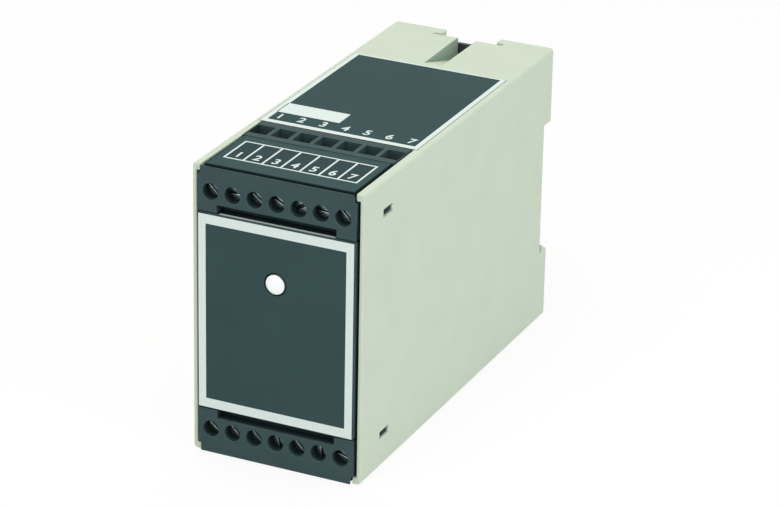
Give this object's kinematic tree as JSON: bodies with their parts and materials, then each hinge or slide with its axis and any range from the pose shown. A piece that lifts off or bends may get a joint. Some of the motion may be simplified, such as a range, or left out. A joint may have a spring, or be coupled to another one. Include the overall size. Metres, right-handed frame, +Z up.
{
  "type": "signal isolator",
  "caption": "Narrow rail-mounted signal isolator with a moulded housing, a framed front cover with a lamp, rows of recessed screw terminals with wire wells, and a sprung rail latch.",
  "frame": {"origin": "middle of the base, on the surface that it stands on", "axes": "+X to the right seen from the front, +Y from the front to the rail seat, +Z up"},
  "size_m": [0.045, 0.1138, 0.075],
  "materials": {
    "cream_plastic": "moulded satin",
    "slate_plastic": "moulded satin",
    "label_film": "printed film",
    "marker_plastic": "printed strip",
    "screw_steel": "zinc plated",
    "clamp_steel": "nickel plated",
    "contact_brass": "tinned",
    "lamp_plastic": "milky",
    "lead_wire": "tinned",
    "board_laminate": "solder resist",
    "header_plastic": "moulded",
    "ferrite": "sintered",
    "bobbin_plastic": "moulded",
    "copper_wire": "enamelled",
    "potting_plastic": "potted",
    "capacitor_sleeve": "sleeve",
    "trimmer_plastic": "moulded",
    "trimmer_brass": "turned",
    "latch_plastic": "moulded",
    "spring_steel": "drawn wire"
  },
  "bodies": {
    "isolator": {"housing": "cream_plastic", "front_cover": "slate_plastic", "front_label": "label_film", "top_label": "label_film", "upper_terminal_block": "slate_plastic", "lower_terminal_block": "slate_plastic", "upper_marker_strip": "marker_plastic", "lower_marker_strip": "marker_plastic", "upper_contacts": "contact_brass", "lower_contacts": "contact_brass", "status_led": "lamp_plastic", "led_leads": "lead_wire", "terminal_board": "board_laminate", "main_board": "board_laminate", "board_header": "header_plastic", "header_pins": "contact_brass", "transformer_core": "ferrite", "transformer_bobbin": "bobbin_plastic", "transformer_winding": "copper_wire", "dc_converter": "potting_plastic", "smoothing_capacitors": "capacitor_sleeve", "amplifier_chips": "potting_plastic", "voltage_regulator": "potting_plastic", "zero_trimmer": "trimmer_plastic", "span_trimmer": "trimmer_plastic", "latch_spring": "spring_steel"},
    "screw_1": {"terminal_screw_1": "screw_steel"},
    "clamp_1": {"wire_clamp_1": "clamp_steel"},
    "screw_2": {"terminal_screw_2": "screw_steel"},
    "clamp_2": {"wire_clamp_2": "clamp_steel"},
    "screw_3": {"terminal_screw_3": "screw_steel"},
    "clamp_3": {"wire_clamp_3": "clamp_steel"},
    "screw_4": {"terminal_screw_4": "screw_steel"},
    "clamp_4": {"wire_clamp_4": "clamp_steel"},
    "screw_5": {"terminal_screw_5": "screw_steel"},
    "clamp_5": {"wire_clamp_5": "clamp_steel"},
    "screw_6": {"terminal_screw_6": "screw_steel"},
    "clamp_6": {"wire_clamp_6": "clamp_steel"},
    "screw_7": {"terminal_screw_7": "screw_steel"},
    "clamp_7": {"wire_clamp_7": "clamp_steel"},
    "screw_8": {"terminal_screw_8": "screw_steel"},
    "clamp_8": {"wire_clamp_8": "clamp_steel"},
    "screw_9": {"terminal_screw_9": "screw_steel"},
    "clamp_9": {"wire_clamp_9": "clamp_steel"},
    "screw_10": {"terminal_screw_10": "screw_steel"},
    "clamp_10": {"wire_clamp_10": "clamp_steel"},
    "screw_11": {"terminal_screw_11": "screw_steel"},
    "clamp_11": {"wire_clamp_11": "clamp_steel"},
    "screw_12": {"terminal_screw_12": "screw_steel"},
    "clamp_12": {"wire_clamp_12": "clamp_steel"},
    "screw_13": {"terminal_screw_13": "screw_steel"},
    "clamp_13": {"wire_clamp_13": "clamp_steel"},
    "screw_14": {"terminal_screw_14": "screw_steel"},
    "clamp_14": {"wire_clamp_14": "clamp_steel"},
    "latch": {"rail_latch": "latch_plastic"},
    "zero_adjuster": {"zero_trimmer_screw": "trimmer_brass"},
    "span_adjuster": {"span_trimmer_screw": "trimmer_brass"}
  },
  "joints": [
    {"name": "screw_1_turn", "type": "hinge", "parent": "isolator", "child": "screw_1", "pos_m": [-0.0174, -0.05305, 0.0686], "axis": [0, 1, 0], "range_deg": [0, 2160]},
    {"name": "clamp_1_slide", "type": "slide", "parent": "isolator", "child": "clamp_1", "axis": [0, -1, 0], "range_m": [0, 0.003]},
    {"name": "screw_2_turn", "type": "hinge", "parent": "isolator", "child": "screw_2", "pos_m": [-0.0116, -0.05305, 0.0686], "axis": [0, 1, 0], "range_deg": [0, 2160]},
    {"name": "clamp_2_slide", "type": "slide", "parent": "isolator", "child": "clamp_2", "axis": [0, -1, 0], "range_m": [0, 0.003]},
    {"name": "screw_3_turn", "type": "hinge", "parent": "isolator", "child": "screw_3", "pos_m": [-0.0058, -0.05305, 0.0686], "axis": [0, 1, 0], "range_deg": [0, 2160]},
    {"name": "clamp_3_slide", "type": "slide", "parent": "isolator", "child": "clamp_3", "axis": [0, -1, 0], "range_m": [0, 0.003]},
    {"name": "screw_4_turn", "type": "hinge", "parent": "isolator", "child": "screw_4", "pos_m": [0, -0.05305, 0.0686], "axis": [0, 1, 0], "range_deg": [0, 2160]},
    {"name": "clamp_4_slide", "type": "slide", "parent": "isolator", "child": "clamp_4", "axis": [0, -1, 0], "range_m": [0, 0.003]},
    {"name": "screw_5_turn", "type": "hinge", "parent": "isolator", "child": "screw_5", "pos_m": [0.0058, -0.05305, 0.0686], "axis": [0, 1, 0], "range_deg": [0, 2160]},
    {"name": "clamp_5_slide", "type": "slide", "parent": "isolator", "child": "clamp_5", "axis": [0, -1, 0], "range_m": [0, 0.003]},
    {"name": "screw_6_turn", "type": "hinge", "parent": "isolator", "child": "screw_6", "pos_m": [0.0116, -0.05305, 0.0686], "axis": [0, 1, 0], "range_deg": [0, 2160]},
    {"name": "clamp_6_slide", "type": "slide", "parent": "isolator", "child": "clamp_6", "axis": [0, -1, 0], "range_m": [0, 0.003]},
    {"name": "screw_7_turn", "type": "hinge", "parent": "isolator", "child": "screw_7", "pos_m": [0.0174, -0.05305, 0.0686], "axis": [0, 1, 0], "range_deg": [0, 2160]},
    {"name": "clamp_7_slide", "type": "slide", "parent": "isolator", "child": "clamp_7", "axis": [0, -1, 0], "range_m": [0, 0.003]},
    {"name": "screw_8_turn", "type": "hinge", "parent": "isolator", "child": "screw_8", "pos_m": [-0.0174, -0.05305, 0.0064], "axis": [0, 1, 0], "range_deg": [0, 2160]},
    {"name": "clamp_8_slide", "type": "slide", "parent": "isolator", "child": "clamp_8", "axis": [0, -1, 0], "range_m": [0, 0.003]},
    {"name": "screw_9_turn", "type": "hinge", "parent": "isolator", "child": "screw_9", "pos_m": [-0.0116, -0.05305, 0.0064], "axis": [0, 1, 0], "range_deg": [0, 2160]},
    {"name": "clamp_9_slide", "type": "slide", "parent": "isolator", "child": "clamp_9", "axis": [0, -1, 0], "range_m": [0, 0.003]},
    {"name": "screw_10_turn", "type": "hinge", "parent": "isolator", "child": "screw_10", "pos_m": [-0.0058, -0.05305, 0.0064], "axis": [0, 1, 0], "range_deg": [0, 2160]},
    {"name": "clamp_10_slide", "type": "slide", "parent": "isolator", "child": "clamp_10", "axis": [0, -1, 0], "range_m": [0, 0.003]},
    {"name": "screw_11_turn", "type": "hinge", "parent": "isolator", "child": "screw_11", "pos_m": [0, -0.05305, 0.0064], "axis": [0, 1, 0], "range_deg": [0, 2160]},
    {"name": "clamp_11_slide", "type": "slide", "parent": "isolator", "child": "clamp_11", "axis": [0, -1, 0], "range_m": [0, 0.003]},
    {"name": "screw_12_turn", "type": "hinge", "parent": "isolator", "child": "screw_12", "pos_m": [0.0058, -0.05305, 0.0064], "axis": [0, 1, 0], "range_deg": [0, 2160]},
    {"name": "clamp_12_slide", "type": "slide", "parent": "isolator", "child": "clamp_12", "axis": [0, -1, 0], "range_m": [0, 0.003]},
    {"name": "screw_13_turn", "type": "hinge", "parent": "isolator", "child": "screw_13", "pos_m": [0.0116, -0.05305, 0.0064], "axis": [0, 1, 0], "range_deg": [0, 2160]},
    {"name": "clamp_13_slide", "type": "slide", "parent": "isolator", "child": "clamp_13", "axis": [0, -1, 0], "range_m": [0, 0.003]},
    {"name": "screw_14_turn", "type": "hinge", "parent": "isolator", "child": "screw_14", "pos_m": [0.0174, -0.05305, 0.0064], "axis": [0, 1, 0], "range_deg": [0, 2160]},
    {"name": "clamp_14_slide", "type": "slide", "parent": "isolator", "child": "clamp_14", "axis": [0, -1, 0], "range_m": [0, 0.003]},
    {"name": "latch_slide", "type": "slide", "parent": "isolator", "child": "latch", "axis": [0, 0, 1], "range_m": [0, 0.003], "stiffness_N_per_m": 900, "springref_m": -0.002, "deforming": ["latch_spring"]},
    {"name": "zero_adjust", "type": "hinge", "parent": "isolator", "child": "zero_adjuster", "pos_m": [-0.008, -0.03265, 0.0303], "axis": [0, 1, 0], "continuous": true},
    {"name": "span_adjust", "type": "hinge", "parent": "isolator", "child": "span_adjuster", "pos_m": [0.008, -0.03265, 0.0303], "axis": [0, 1, 0], "continuous": true}
  ],
  "couplings": [
    {"joint": "screw_1_turn", "follows": "clamp_1_slide", "rad_per_m": 12566},
    {"joint": "screw_2_turn", "follows": "clamp_2_slide", "rad_per_m": 12566},
    {"joint": "screw_3_turn", "follows": "clamp_3_slide", "rad_per_m": 12566},
    {"joint": "screw_4_turn", "follows": "clamp_4_slide", "rad_per_m": 12566},
    {"joint": "screw_5_turn", "follows": "clamp_5_slide", "rad_per_m": 12566},
    {"joint": "screw_6_turn", "follows": "clamp_6_slide", "rad_per_m": 12566},
    {"joint": "screw_7_turn", "follows": "clamp_7_slide", "rad_per_m": 12566},
    {"joint": "screw_8_turn", "follows": "clamp_8_slide", "rad_per_m": 12566},
    {"joint": "screw_9_turn", "follows": "clamp_9_slide", "rad_per_m": 12566},
    {"joint": "screw_10_turn", "follows": "clamp_10_slide", "rad_per_m": 12566},
    {"joint": "screw_11_turn", "follows": "clamp_11_slide", "rad_per_m": 12566},
    {"joint": "screw_12_turn", "follows": "clamp_12_slide", "rad_per_m": 12566},
    {"joint": "screw_13_turn", "follows": "clamp_13_slide", "rad_per_m": 12566},
    {"joint": "screw_14_turn", "follows": "clamp_14_slide", "rad_per_m": 12566}
  ]
}
